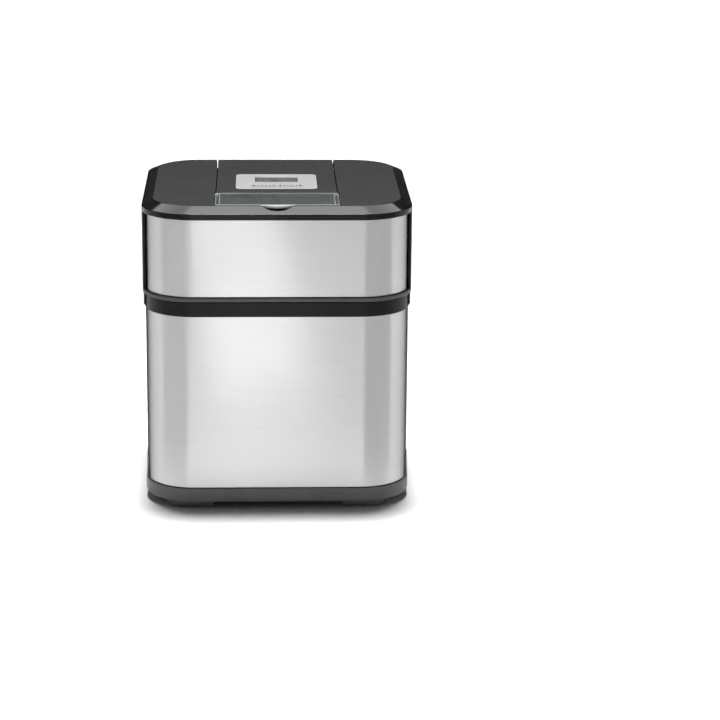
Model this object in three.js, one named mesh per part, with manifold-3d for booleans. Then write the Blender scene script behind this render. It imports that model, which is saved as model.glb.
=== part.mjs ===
// Household ice cream maker with a pre-frozen bowl: a square housing, a double-walled freezer bowl,
// a paddle, and a lid that holds the gear motor, the control strip and a clear refill flap.
// Millimetres, +Z up, front towards -Y, origin on the floor under the middle of the machine.
import * as THREE from "three";
import { mergeVertices } from "three/addons/utils/BufferGeometryUtils.js";
import Module from "manifold-3d";

const wasm = await Module();
wasm.setup();

// ---- driving dimensions ------------------------------------------------------------------

const GAP = 0.3; // between pieces that touch
const CORNER_STEPS = 6; // facets on each rounded corner of the square outline
const ROUND_STEPS = 32; // facets on large round pieces

const STEEL_HALF = 107.5; // half the width and depth of the steel walls
const STEEL_RADIUS = 40;
const STEEL_THICK = 0.8;
const RIM_HALF_X = 109.9; // lid rims, collar and side cheeks
const RIM_HALF_Y = 109;
const RIM_RADIUS = 41.5;

const BASE_HALF = 108.95;
const BASE_RADIUS = 41.45;
const BASE_BOTTOM = 5.9;
const BASE_TOP = 18;
const BASE_FLOOR = 2.6; // thickness
const BASE_WALL = 3.5;
const FOOT_BLOCK_HALF_X = 90.5; // outer faces of the blocks
const FOOT_BLOCK_HALF_Y = 103.4;
const FOOT_BLOCK_RADIUS = 12;
const FOOT_BLOCK_START = 53; // their inner faces, from the middle
const FOOT_BLOCK_BOTTOM = 1;
const WEDGE_HEIGHT = 19; // above the base band
const WEDGE_TOP_THICK = 0.25;
const PAD_RADIUS = 8.9;
const PAD_TOP = 3;
const POST_AT = 80; // corner posts, screws and foot pads
const POST_RADIUS = 4.6;

const COLLAR_BOTTOM = 163.3;
const COLLAR_TOP = 175;
const COLLAR_BORE = 92.3;
const COLLAR_WALL = 2.5;
const GRIP_HALF_Y = 77.5; // side lips of the collar, side wedges of the base
const GRIP_INSET = 0.6; // from the lid rims' outline

const LINER_RADIUS = 93; // inside
const LINER_WALL = 1.8;
const LINER_FLOOR = 10.2;

const BOWL_RADIUS = 89; // outside
const BOWL_BOTTOM = 12.6;
const BOWL_TOP = 170;
const BOWL_INSIDE = 72; // radius
const BOWL_FLOOR = 28.5; // upper face of the inside floor
const BOWL_WALL = 1.5;
const BOWL_PIN_RADIUS = 3;

const PADDLE_RADIUS = 69.5;
const PADDLE_BOTTOM = 31;
const PADDLE_TOP = 124;
const PADDLE_THICK = 5;
const HUB_RADIUS = 11;
const HUB_TOP = 166;
const HEX_RADIUS = 6; // drive coupling, over its corners

const LID_BOTTOM = 175.4;
const LID_BAND_BOTTOM = 178.9;
const LID_BAND_TOP = 242.8;
const RIM_TOP = 247.4;
const TOP_PLATE = 252;
const PLATE_TOP_HALF_X = 101; // flat top inside the chamfer
const PLATE_TOP_HALF_Y = 97.3;
const PLATE_TOP_RADIUS = 36;
const SHELL = 2.5; // plastic wall of the lid's top
const CHEEK_HALF_Y = 77.5;
const GLAND_Z = 192; // mains lead inlet in the rear wall

const STRIP_HALF = 49.7; // centre strip of the lid's top
const STRIP_FRONT = -45.2;
const SLOT_START_Y = 68; // behind this the seams open into slots
const SLOT_HALF = 50.8;

const PLATE_HALF_X = 33.8; // silver control plate
const PLATE_FRONT = -31;
const PLATE_REAR = 31;
const PLATE_THICK = 0.9;
const WINDOW_HALF_X = 17.9;
const WINDOW_FRONT = -1.9;
const WINDOW_REAR = 16.8;
const KEY_WIDTH = 9.9;
const KEY_FRONT = -22.3;
const KEY_REAR = -13.3;
const KEY_CENTRES = [-15.7, -5.3, 6.2, 16.6];

const FLAP_HALF = 50.1;
const FLAP_FRONT = -95.9;
const FLAP_REAR = -47.5;
const FLAP_TOP = 252.3;
const FLAP_THICK = 1.9;
const FLAP_HINGE_Y = -48.9;
const FLAP_HINGE_Z = 250.9;
const FLAP_PIN_RADIUS = 0.9;
const POCKET_FLOOR = 248.8;
const TAB_HALF = 14.5;
const SCOOP_RADIUS = 12.5; // finger scoop under the flap's tab
const SCOOP_Y = -94;
const SCOOP_FLOOR = 244.9;

const SHAFT_RADIUS = 4;
const TOOTH_OUTPUT = 48;
const TOOTH_IDLER_SMALL = 12;
const TOOTH_IDLER_LARGE = 48;
const TOOTH_PINION = 12;
const MODULE_SLOW = 1.25; // output gear and idler's small gear
const MODULE_FAST = 1; // idler's large gear and motor pinion
const IDLER_Y = (MODULE_SLOW * (TOOTH_OUTPUT + TOOTH_IDLER_SMALL)) / 2;
const PINION_DISTANCE = (MODULE_FAST * (TOOTH_IDLER_LARGE + TOOTH_PINION)) / 2;
const PINION_ANGLE = THREE.MathUtils.degToRad(30); // idler to motor, measured from +X
const MOTOR_X = PINION_DISTANCE * Math.cos(PINION_ANGLE);
const MOTOR_Y = IDLER_Y + PINION_DISTANCE * Math.sin(PINION_ANGLE);
const MOTOR_RADIUS = 23;
const GEARBOX_BOTTOM = 183;
const GEARBOX_TOP = 206;

// ---- materials -----------------------------------------------------------------------------

const material = (color, roughness, metalness) =>
  new THREE.MeshStandardMaterial({ color, roughness, metalness });

const steel = material(0xd2d3d4, 0.32, 1);
const zinc = material(0xb9bcbe, 0.4, 1);
const aluminium = material(0xc8cacb, 0.3, 1);
const blackPlastic = material(0x2b2b2b, 0.45, 0);
const matteBlack = material(0x4b4c4d, 0.7, 0);
const greyPlastic = material(0x4c4d4f, 0.5, 0);
const rubber = material(0x1d1e1f, 0.85, 0);
const silverPlate = material(0xcfd1d1, 0.45, 0.4);
const clearPlastic = material(0xc9d2d0, 0.1, 0);
const displayGlass = material(0x737974, 0.2, 0);
const boardGreen = material(0x2b6b46, 0.6, 0);
const whitePlastic = material(0xe9e8e3, 0.5, 0);
const gearPlastic = material(0xe2dccb, 0.5, 0);
const coolantBlue = material(0x9fc3dc, 0.3, 0);

// ---- shape helpers -------------------------------------------------------------------------

// Points of a rectangle with round corners, anticlockwise.
function roundedOutline(halfX, halfY, radius, middleX = 0, middleY = 0, steps = CORNER_STEPS) {
  const corners = [
    [1, 1, 0],
    [-1, 1, 90],
    [-1, -1, 180],
    [1, -1, 270],
  ];
  const points = [];
  for (const [sideX, sideY, start] of corners) {
    for (let i = 0; i <= steps; i += 1) {
      const angle = THREE.MathUtils.degToRad(start + (90 * i) / steps);
      const x = middleX + sideX * (halfX - radius) + radius * Math.cos(angle);
      const y = middleY + sideY * (halfY - radius) + radius * Math.sin(angle);
      points.push(new THREE.Vector2(x, y));
    }
  }
  return points;
}

// Skin through convex outlines stacked along Z, each { points, z } with the same number of points.
function loft(rings) {
  const count = rings[0].points.length;
  const positions = [];
  const index = [];
  for (const { points, z } of rings) {
    for (const point of points) positions.push(point.x, point.y, z);
  }
  for (let r = 0; r < rings.length - 1; r += 1) {
    for (let i = 0; i < count; i += 1) {
      const a = r * count + i;
      const b = r * count + ((i + 1) % count);
      index.push(a, b, b + count, a, b + count, a + count);
    }
  }
  const last = (rings.length - 1) * count;
  for (let i = 1; i < count - 1; i += 1) {
    index.push(0, i + 1, i);
    index.push(last, last + i, last + i + 1);
  }
  const geometry = new THREE.BufferGeometry();
  geometry.setAttribute("position", new THREE.Float32BufferAttribute(positions, 3));
  geometry.setIndex(index);
  return geometry;
}

function prism(points, bottom, top) {
  return solid(loft([{ points, z: bottom }, { points, z: top }]));
}

function squarePrism(half, radius, bottom, top) {
  return prism(roundedOutline(half, half, radius), bottom, top);
}

function box(x0, x1, y0, y1, z0, z1) {
  const geometry = new THREE.BoxGeometry(x1 - x0, y1 - y0, z1 - z0);
  return solid(geometry.translate((x0 + x1) / 2, (y0 + y1) / 2, (z0 + z1) / 2));
}

function cylinder(radius, bottom, top, x = 0, y = 0, steps = ROUND_STEPS) {
  const geometry = new THREE.CylinderGeometry(radius, radius, top - bottom, steps);
  return solid(geometry.rotateX(Math.PI / 2).translate(x, y, (bottom + top) / 2));
}

// Solid of revolution about Z: [radius, height] pairs, anticlockwise.
function revolve(profile, steps = ROUND_STEPS) {
  const points = profile.map(([radius, height]) => new THREE.Vector2(radius, height));
  return solid(new THREE.LatheGeometry(points, steps).rotateX(Math.PI / 2));
}

function tube(inside, outside, bottom, top, steps = ROUND_STEPS) {
  return revolve(
    [[inside, bottom], [outside, bottom], [outside, top], [inside, top], [inside, bottom]],
    steps,
  );
}

function extrude(shape, bottom, top, curveSegments = 8) {
  const settings = { depth: top - bottom, bevelEnabled: false, curveSegments };
  return solid(new THREE.ExtrudeGeometry(shape, settings).translate(0, 0, bottom));
}

function solid(geometry) {
  geometry.deleteAttribute("normal");
  geometry.deleteAttribute("uv");
  const merged = mergeVertices(geometry, 1e-4);
  const mesh = new wasm.Mesh({
    numProp: 3,
    vertProperties: merged.attributes.position.array,
    triVerts: new Uint32Array(merged.index.array),
  });
  return new wasm.Manifold(mesh);
}

function geometryOf(manifold) {
  const mesh = manifold.getMesh();
  const geometry = new THREE.BufferGeometry();
  geometry.setAttribute("position", new THREE.BufferAttribute(mesh.vertProperties, 3));
  geometry.setIndex(new THREE.BufferAttribute(mesh.triVerts, 1));
  geometry.computeVertexNormals();
  return geometry;
}

const machine = new THREE.Group();

function add(name, manifold, finish, position = [0, 0, 0]) {
  const mesh = new THREE.Mesh(geometryOf(manifold), finish);
  mesh.name = name;
  mesh.position.set(...position);
  machine.add(mesh);
}

const corners = [
  [-1, -1],
  [1, -1],
  [1, 1],
  [-1, 1],
];

// ---- housing -------------------------------------------------------------------------------

function footBlock(sideX, sideY) {
  const outline = roundedOutline(FOOT_BLOCK_HALF_X, FOOT_BLOCK_HALF_Y, FOOT_BLOCK_RADIUS);
  const xs = [sideX * FOOT_BLOCK_START, sideX * BASE_HALF].sort((a, b) => a - b);
  const ys = [sideY * FOOT_BLOCK_START, sideY * BASE_HALF].sort((a, b) => a - b);
  const top = BASE_BOTTOM + 0.5;
  return prism(outline, FOOT_BLOCK_BOTTOM, top).intersect(box(...xs, ...ys, 0, top));
}

// Wedges on the two side walls: as thick as the base band below, and next to nothing at their top.
function sideWedges() {
  const ring = (half, radius, z) => ({ points: roundedOutline(half, half, radius), z });
  const top = BASE_TOP + WEDGE_HEIGHT;
  const outset = GAP + WEDGE_TOP_THICK;
  return solid(
    loft([
      ring(BASE_HALF, BASE_RADIUS, BASE_TOP - 1),
      ring(BASE_HALF, BASE_RADIUS, BASE_TOP),
      ring(STEEL_HALF + outset, STEEL_RADIUS + outset, top),
    ]),
  )
    .subtract(squarePrism(STEEL_HALF + GAP, STEEL_RADIUS + GAP, 0, top + 1))
    .intersect(box(-BASE_HALF - 1, BASE_HALF + 1, -GRIP_HALF_Y, GRIP_HALF_Y, 0, top));
}

function baseTray() {
  const pocketHalf = BASE_HALF - BASE_WALL;
  const lipHalf = STEEL_HALF - STEEL_THICK - GAP;
  const lipRadius = STEEL_RADIUS - STEEL_THICK - GAP;
  const floorTop = BASE_BOTTOM + BASE_FLOOR;
  let tray = squarePrism(BASE_HALF, BASE_RADIUS, BASE_BOTTOM, BASE_TOP)
    .add(squarePrism(lipHalf, lipRadius, BASE_TOP - 1, BASE_TOP + 4))
    .subtract(squarePrism(pocketHalf - 1, BASE_RADIUS - BASE_WALL - 1, floorTop, BASE_TOP + 5))
    .add(sideWedges());
  for (const [sideX, sideY] of corners) {
    const x = sideX * POST_AT;
    const y = sideY * POST_AT;
    tray = tray
      .add(footBlock(sideX, sideY))
      .subtract(cylinder(PAD_RADIUS + GAP, 0, PAD_TOP + GAP, x, y, 24))
      .subtract(cylinder(3.8, PAD_TOP, 5.4, x, y, 16))
      .subtract(cylinder(2, 5, floorTop + 1, x, y, 12));
  }
  return tray;
}

function baseScrew() {
  return cylinder(3.4, 3.5, 5.1, 0, 0, 16).add(cylinder(1.6, 5, 24, 0, 0, 12));
}

// Square steel wall, open at both ends.
function steelBand(bottom, top) {
  const inner = squarePrism(
    STEEL_HALF - STEEL_THICK,
    STEEL_RADIUS - STEEL_THICK,
    bottom - 1,
    top + 1,
  );
  return squarePrism(STEEL_HALF, STEEL_RADIUS, bottom, top).subtract(inner);
}

// Ring that closes the housing round the bowl, with side lips and four posts for the base screws.
function collar() {
  const rim = roundedOutline(STEEL_HALF + 0.6, STEEL_HALF + 0.6, STEEL_RADIUS + 0.6);
  const gripLow = roundedOutline(STEEL_HALF, STEEL_HALF, STEEL_RADIUS);
  const lips = solid(
    loft([
      { points: gripLow, z: COLLAR_BOTTOM },
      { points: rimOutline(GRIP_INSET), z: COLLAR_BOTTOM + 2.4 },
      { points: rimOutline(GRIP_INSET), z: COLLAR_TOP },
    ]),
  ).subtract(box(-200, 200, -200, -GRIP_HALF_Y, 100, 200))
    .subtract(box(-200, 200, GRIP_HALF_Y, 200, 100, 200));
  const hollow = squarePrism(
    STEEL_HALF - COLLAR_WALL,
    STEEL_RADIUS - COLLAR_WALL,
    COLLAR_BOTTOM - 1,
    COLLAR_TOP - COLLAR_WALL,
  );
  let ring = prism(rim, COLLAR_BOTTOM, COLLAR_TOP)
    .add(lips)
    .subtract(hollow)
    .add(cylinder(COLLAR_BORE + COLLAR_WALL, COLLAR_BOTTOM, COLLAR_TOP - 1))
    .subtract(cylinder(COLLAR_BORE, COLLAR_BOTTOM - 1, COLLAR_TOP + 1));
  const postBottom = BASE_BOTTOM + BASE_FLOOR + GAP;
  for (const [sideX, sideY] of corners) {
    const x = sideX * POST_AT;
    const y = sideY * POST_AT;
    ring = ring
      .add(cylinder(POST_RADIUS, postBottom, COLLAR_TOP - 1, x, y, 16))
      .subtract(cylinder(2, postBottom - 1, 26, x, y, 12));
  }
  return ring;
}

function innerLiner() {
  const outer = LINER_RADIUS + LINER_WALL;
  const top = COLLAR_BOTTOM - GAP;
  const flange = outer + 5.5;
  return revolve([
    [0, LINER_FLOOR],
    [outer, LINER_FLOOR],
    [outer, top - 2],
    [flange, top - 2],
    [flange, top],
    [LINER_RADIUS, top],
    [LINER_RADIUS, LINER_FLOOR + 2],
    [0, LINER_FLOOR + 2],
  ]);
}

function addHousing() {
  add("base_tray", baseTray(), greyPlastic);
  corners.forEach(([sideX, sideY], i) => {
    const place = [sideX * POST_AT, sideY * POST_AT, 0];
    add(`rubber_foot_${i + 1}`, cylinder(PAD_RADIUS, 0, PAD_TOP, 0, 0, 24), rubber, place);
    add(`base_screw_${i + 1}`, baseScrew(), zinc, place);
  });
  add("lower_steel_sleeve", steelBand(BASE_TOP + GAP, COLLAR_BOTTOM - GAP), steel);
  add("collar", collar(), blackPlastic);
  add("inner_liner", innerLiner(), matteBlack);
}

// ---- freezer bowl --------------------------------------------------------------------------

function bowlOuter() {
  const inside = BOWL_RADIUS - BOWL_WALL;
  const top = BOWL_TOP - 8;
  return revolve([
    [0, BOWL_BOTTOM],
    [BOWL_RADIUS - 5, BOWL_BOTTOM],
    [BOWL_RADIUS, BOWL_BOTTOM + 5],
    [BOWL_RADIUS, top],
    [inside, top],
    [inside, BOWL_BOTTOM + 5.6],
    [inside - 4.2, BOWL_BOTTOM + BOWL_WALL],
    [0, BOWL_BOTTOM + BOWL_WALL],
  ]);
}

// Inner cup, with a centre pin that the paddle turns on.
function bowlInner() {
  const outer = BOWL_INSIDE + BOWL_WALL;
  const top = BOWL_TOP - 8;
  const pinTop = BOWL_FLOOR + 7;
  return revolve([
    [0, BOWL_FLOOR - BOWL_WALL],
    [outer - 5, BOWL_FLOOR - BOWL_WALL],
    [outer, BOWL_FLOOR + 4],
    [outer, top],
    [BOWL_INSIDE, top],
    [BOWL_INSIDE, BOWL_FLOOR + 4.6],
    [BOWL_INSIDE - 4.4, BOWL_FLOOR],
    [BOWL_PIN_RADIUS, BOWL_FLOOR],
    [BOWL_PIN_RADIUS, pinTop - 1],
    [BOWL_PIN_RADIUS - 1, pinTop],
    [0, pinTop],
  ]);
}

// Freezing gel between the two walls.
function coolantJacket() {
  const outer = BOWL_RADIUS - BOWL_WALL - GAP;
  const inner = BOWL_INSIDE + BOWL_WALL + GAP;
  const bottom = BOWL_BOTTOM + BOWL_WALL + GAP;
  const top = BOWL_TOP - 10;
  return revolve([
    [0, bottom],
    [outer - 4.5, bottom],
    [outer, bottom + 4.5],
    [outer, top],
    [inner, top],
    [inner, BOWL_FLOOR + 4],
    [inner - 5.2, BOWL_FLOOR - BOWL_WALL - GAP],
    [0, BOWL_FLOOR - BOWL_WALL - GAP],
  ]);
}

// Ring that joins the two walls and carries two opposite grip lugs.
function bowlRim() {
  const top = BOWL_TOP;
  const low = BOWL_TOP - 8 + GAP;
  const outer = BOWL_RADIUS + 2.2;
  return revolve([
    [BOWL_INSIDE + 0.2, low],
    [BOWL_RADIUS + GAP, low],
    [BOWL_RADIUS + GAP, low - 3],
    [outer, low - 3],
    [outer, top - 1.5],
    [outer - 1.5, top],
    [BOWL_INSIDE + 1.6, top],
    [BOWL_INSIDE + 0.2, top - 1.4],
    [BOWL_INSIDE + 0.2, low],
  ]);
}

function addBowl() {
  add("bowl_outer_shell", bowlOuter(), matteBlack);
  add("bowl_inner_cup", bowlInner(), aluminium);
  add("coolant_gel", coolantJacket(), coolantBlue);
  add("bowl_rim_ring", bowlRim(), matteBlack);
}

// ---- paddle --------------------------------------------------------------------------------

// One window in a wing of the paddle, between two heights.
function paddleWindow(side, bottom, top) {
  const near = HUB_RADIUS + 3;
  const far = PADDLE_RADIUS - 9;
  const hole = roundedOutline(
    (far - near) / 2,
    (top - bottom) / 2,
    7,
    (side * (near + far)) / 2,
    (bottom + top) / 2,
    4,
  );
  return new THREE.Path(hole.reverse());
}

function hexagon(radius, bottom, top) {
  return cylinder(radius, bottom, top, 0, 0, 6);
}

// Flat frame with four windows, slanted scrapers at its two ends and a socket at the top.
function paddle() {
  const middleZ = (PADDLE_BOTTOM + PADDLE_TOP) / 2;
  const halfZ = (PADDLE_TOP - PADDLE_BOTTOM) / 2;
  const frame = new THREE.Shape(roundedOutline(PADDLE_RADIUS - 3, halfZ, 10, 0, middleZ, 5));
  const middleBar = 5;
  for (const side of [-1, 1]) {
    frame.holes.push(paddleWindow(side, PADDLE_BOTTOM + 9, middleZ - middleBar));
    frame.holes.push(paddleWindow(side, middleZ + middleBar, PADDLE_TOP - 9));
  }
  const settings = { depth: PADDLE_THICK, bevelEnabled: false, curveSegments: 4 };
  const plate = new THREE.ExtrudeGeometry(frame, settings);
  plate.rotateX(Math.PI / 2).translate(0, PADDLE_THICK / 2, 0);
  let whole = solid(plate)
    .add(cylinder(HUB_RADIUS - 2, PADDLE_BOTTOM, PADDLE_TOP + 8, 0, 0, 24))
    .add(cylinder(HUB_RADIUS, PADDLE_TOP + 4, HUB_TOP, 0, 0, 24));
  for (const side of [-1, 1]) {
    const blade = new THREE.BoxGeometry(3, 12, PADDLE_TOP - PADDLE_BOTTOM - 24);
    blade.rotateZ(THREE.MathUtils.degToRad(35));
    blade.translate(side * (PADDLE_RADIUS - 5), side * 2.4, middleZ);
    whole = whole.add(solid(blade));
    const sweeper = new THREE.BoxGeometry(PADDLE_RADIUS - 22, 11, 2.6);
    sweeper.rotateX(THREE.MathUtils.degToRad(-side * 32));
    sweeper.translate((side * PADDLE_RADIUS) / 2, side * 3, PADDLE_BOTTOM + 4.6);
    whole = whole.add(solid(sweeper));
  }
  return whole
    .subtract(box(-80, 80, -40, 40, 0, PADDLE_BOTTOM))
    .subtract(cylinder(BOWL_PIN_RADIUS + 0.6, 0, BOWL_FLOOR + 9, 0, 0, 16))
    .subtract(hexagon(HEX_RADIUS + 0.7, HUB_TOP - 17, HUB_TOP + 1));
}

// ---- lid: shells ---------------------------------------------------------------------------

const SCREW_X = 86;
const SCREW_Y = 58;
const CHUTE_LOW = { halfX: 25, front: -71, rear: -47 };
const CHUTE_HIGH = { halfX: 45, front: -91, rear: -50 };

// Rectangle between two Y values, widened on all sides by a margin.
function chuteOutline({ halfX, front, rear }, margin) {
  const halfY = (rear - front) / 2;
  return roundedOutline(halfX + margin, halfY + margin, 5, 0, (front + rear) / 2, 4);
}

// Floor of the lid: it covers the bowl, carries the gearbox and shows as the lid's lower rim.
function lidPan() {
  const hollow = squarePrism(
    STEEL_HALF - STEEL_THICK - 3,
    STEEL_RADIUS - STEEL_THICK - 3,
    LID_BOTTOM + 2.4,
    LID_BAND_BOTTOM + 10,
  );
  const lip = squarePrism(
    STEEL_HALF - STEEL_THICK - GAP,
    STEEL_RADIUS - STEEL_THICK - GAP,
    LID_BAND_BOTTOM - 1,
    LID_BAND_BOTTOM + 4,
  );
  let pan = prism(rimOutline(0), LID_BOTTOM, LID_BAND_BOTTOM)
    .add(lip)
    .subtract(hollow)
    .add(tube(86, 88.5, LID_BOTTOM - 4, LID_BOTTOM + 1))
    .add(cylinder(14, LID_BOTTOM - 3, GEARBOX_BOTTOM - 2, 0, 0, 24))
    .subtract(cylinder(8.3, LID_BOTTOM - 4, GEARBOX_BOTTOM, 0, 0, 24))
    .subtract(prism(chuteOutline(CHUTE_LOW, 0.4), LID_BOTTOM - 1, LID_BAND_BOTTOM + 1));
  for (const [sideX, sideY] of corners) {
    const x = sideX * SCREW_X;
    const y = sideY * SCREW_Y;
    pan = pan
      .subtract(cylinder(1.9, LID_BOTTOM - 1, LID_BAND_BOTTOM + 1, x, y, 12))
      .subtract(cylinder(3.6, LID_BOTTOM - 1, LID_BOTTOM + 1.6, x, y, 16));
  }
  return pan;
}

// Black panel on one side of the lid, between the two rims.
function sideCheek(side) {
  const outer = prism(rimOutline(0), LID_BAND_BOTTOM + GAP, LID_BAND_TOP - GAP);
  const inner = squarePrism(STEEL_HALF + GAP, STEEL_RADIUS + GAP, LID_BAND_BOTTOM, LID_BAND_TOP);
  const xs = side < 0 ? [-200, 0] : [0, 200];
  return outer.subtract(inner).intersect(box(...xs, -CHEEK_HALF_Y, CHEEK_HALF_Y, 100, 300));
}

// The lid rims' outline, drawn in by a distance.
function rimOutline(inset) {
  return roundedOutline(RIM_HALF_X - inset, RIM_HALF_Y - inset, RIM_RADIUS - inset);
}

// Outline of the flat top, drawn in by a distance.
function flatTopOutline(inset) {
  return roundedOutline(
    PLATE_TOP_HALF_X - inset,
    PLATE_TOP_HALF_Y - inset,
    PLATE_TOP_RADIUS - inset,
  );
}

// Full body of the lid's top: rim, chamfer and flat plate.
function topBlock() {
  return solid(
    loft([
      { points: rimOutline(0), z: LID_BAND_TOP },
      { points: rimOutline(0), z: RIM_TOP },
      { points: flatTopOutline(0), z: TOP_PLATE },
    ]),
  );
}

function topShell() {
  const inner = loft([
    { points: rimOutline(SHELL), z: LID_BAND_TOP - 1 },
    { points: rimOutline(SHELL), z: RIM_TOP - SHELL },
    { points: flatTopOutline(1), z: TOP_PLATE - SHELL },
  ]);
  return topBlock().subtract(solid(inner));
}

// Lens-shaped pull tab in front of the flap, widened by a margin.
function tabShape(margin) {
  const half = TAB_HALF + margin;
  const shape = new THREE.Shape();
  shape.moveTo(-half, FLAP_FRONT + 1);
  shape.lineTo(-half, FLAP_FRONT - margin);
  shape.quadraticCurveTo(0, FLAP_FRONT - 9 - 2 * margin, half, FLAP_FRONT - margin);
  shape.lineTo(half, FLAP_FRONT + 1);
  return shape;
}

// Outer moulding of the top: it surrounds the strip on three sides and holds the flap's pocket.
function bezel() {
  const inside = FLAP_HALF + 0.6;
  const pocketFront = FLAP_FRONT - 0.6;
  const pocket = box(-inside, inside, pocketFront, STRIP_FRONT + 5, POCKET_FLOOR, 260);
  const pinHoles = box(
    -FLAP_HALF - 2.4,
    FLAP_HALF + 2.4,
    FLAP_HINGE_Y - 1.3,
    FLAP_HINGE_Y + 1.3,
    FLAP_HINGE_Z - 1.3,
    FLAP_HINGE_Z + 1.3,
  );
  const stripSpace = box(-STRIP_HALF - 0.6, STRIP_HALF + 0.6, STRIP_FRONT - 0.6, 200, 200, 260);
  const slots = box(-SLOT_HALF, SLOT_HALF, SLOT_START_Y, 200, 200, 260);
  const scoopHolder = box(-17, 17, -106.4, pocketFront + 2, LID_BAND_TOP, 249);
  const tabNotch = extrude(tabShape(0.6), FLAP_TOP - FLAP_THICK - GAP, 260);
  let top = topShell()
    .add(scoopHolder.intersect(topBlock()))
    .add(box(-54, 54, pocketFront - 2, STRIP_FRONT, POCKET_FLOOR - 2.2, POCKET_FLOOR + 1))
    .subtract(pocket)
    .subtract(pinHoles)
    .subtract(tabNotch)
    .subtract(prism(chuteOutline(CHUTE_HIGH, -1), 240, 255))
    .subtract(cylinder(SCOOP_RADIUS, SCOOP_FLOOR, 260, 0, SCOOP_Y, 32))
    .subtract(stripSpace)
    .subtract(slots);
  for (const [sideX, sideY] of corners) {
    const x = sideX * SCREW_X;
    const y = sideY * SCREW_Y;
    top = top
      .add(cylinder(4, LID_BAND_BOTTOM + GAP, TOP_PLATE - 2, x, y, 16))
      .subtract(cylinder(1.9, LID_BAND_BOTTOM - 1, 200, x, y, 12));
  }
  return top;
}

function lidScrew() {
  return cylinder(3.2, LID_BOTTOM, LID_BOTTOM + 1.4, 0, 0, 16).add(
    cylinder(1.5, LID_BOTTOM + 1, 196, 0, 0, 12),
  );
}

// Strip down the middle of the top, with a bed for the control plate.
function centreStrip() {
  const bed = box(
    -PLATE_HALF_X - GAP,
    PLATE_HALF_X + GAP,
    PLATE_FRONT - GAP,
    PLATE_REAR + GAP,
    TOP_PLATE - PLATE_THICK,
    260,
  );
  const displayHole = box(
    -WINDOW_HALF_X + 1,
    WINDOW_HALF_X - 1,
    WINDOW_FRONT + 1,
    WINDOW_REAR - 1,
    240,
    260,
  );
  let strip = topShell()
    .intersect(box(-STRIP_HALF, STRIP_HALF, STRIP_FRONT, 200, 200, 260))
    .subtract(bed)
    .subtract(displayHole);
  for (const x of KEY_CENTRES) {
    strip = strip.subtract(box(x - 2.2, x + 2.2, KEY_FRONT + 2.3, KEY_REAR - 2.3, 240, 260));
  }
  return strip;
}

function controlPlate() {
  const halfY = (PLATE_REAR - PLATE_FRONT) / 2;
  const middleY = (PLATE_REAR + PLATE_FRONT) / 2;
  let plate = prism(
    roundedOutline(PLATE_HALF_X, halfY, 3, 0, middleY, 4),
    TOP_PLATE - PLATE_THICK + 0.2,
    TOP_PLATE + 0.15,
  ).subtract(
    box(-WINDOW_HALF_X, WINDOW_HALF_X, WINDOW_FRONT, WINDOW_REAR, TOP_PLATE - 5, TOP_PLATE + 5),
  );
  for (const x of KEY_CENTRES) {
    const half = KEY_WIDTH / 2 + 0.2;
    plate = plate.subtract(
      box(x - half, x + half, KEY_FRONT - 0.2, KEY_REAR + 0.2, TOP_PLATE - 5, TOP_PLATE + 5),
    );
  }
  return plate;
}

// Key cap with a stem that reaches through the strip to the switch on the board.
function keyCap() {
  const half = KEY_WIDTH / 2;
  const halfY = (KEY_REAR - KEY_FRONT) / 2;
  const cap = prism(roundedOutline(half, halfY, 1, 0, 0, 3), TOP_PLATE + 0.1, TOP_PLATE + 0.35);
  return cap.add(box(-1.7, 1.7, -1.7, 1.7, 246.9, TOP_PLATE + 0.2));
}

function displayWindow() {
  return box(
    -WINDOW_HALF_X + 0.3,
    WINDOW_HALF_X - 0.3,
    WINDOW_FRONT + 0.3,
    WINDOW_REAR - 0.3,
    TOP_PLATE - PLATE_THICK + 0.2,
    TOP_PLATE,
  );
}

function displayModule() {
  return box(-20, 20, WINDOW_FRONT - 1.5, WINDOW_REAR + 1.5, 246.2, TOP_PLATE - SHELL - GAP);
}

// Circuit board with a switch under each key and three large components on its lower side.
function controlBoard() {
  const keyY = (KEY_FRONT + KEY_REAR) / 2;
  let board = box(-32, 32, PLATE_FRONT + 2, PLATE_REAR - 2, 243.2, 244.8)
    .add(box(-26, -14, 20, 27, 238, 244))
    .add(box(8, 24, 21, 27, 240, 244))
    .add(cylinder(4, 234, 244, 24, -24, 16));
  for (const x of KEY_CENTRES) board = board.add(box(x - 3, x + 3, keyY - 3, keyY + 3, 244, 246));
  return board;
}

// Funnel from the pocket under the flap down into the bowl.
function refillChute() {
  const high = POCKET_FLOOR - 2.2 - GAP;
  const outer = loft([
    { points: chuteOutline(CHUTE_LOW, 0), z: LID_BOTTOM - 3 },
    { points: chuteOutline(CHUTE_LOW, 0), z: LID_BAND_BOTTOM + 4 },
    { points: chuteOutline(CHUTE_HIGH, 0), z: high - 12 },
    { points: chuteOutline(CHUTE_HIGH, 0), z: high },
  ]);
  const inner = loft([
    { points: chuteOutline(CHUTE_LOW, -1.8), z: LID_BOTTOM - 4 },
    { points: chuteOutline(CHUTE_LOW, -1.8), z: LID_BAND_BOTTOM + 4 },
    { points: chuteOutline(CHUTE_HIGH, -1.8), z: high - 12 },
    { points: chuteOutline(CHUTE_HIGH, -1.8), z: high + 1 },
  ]);
  return solid(outer).subtract(solid(inner));
}

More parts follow.
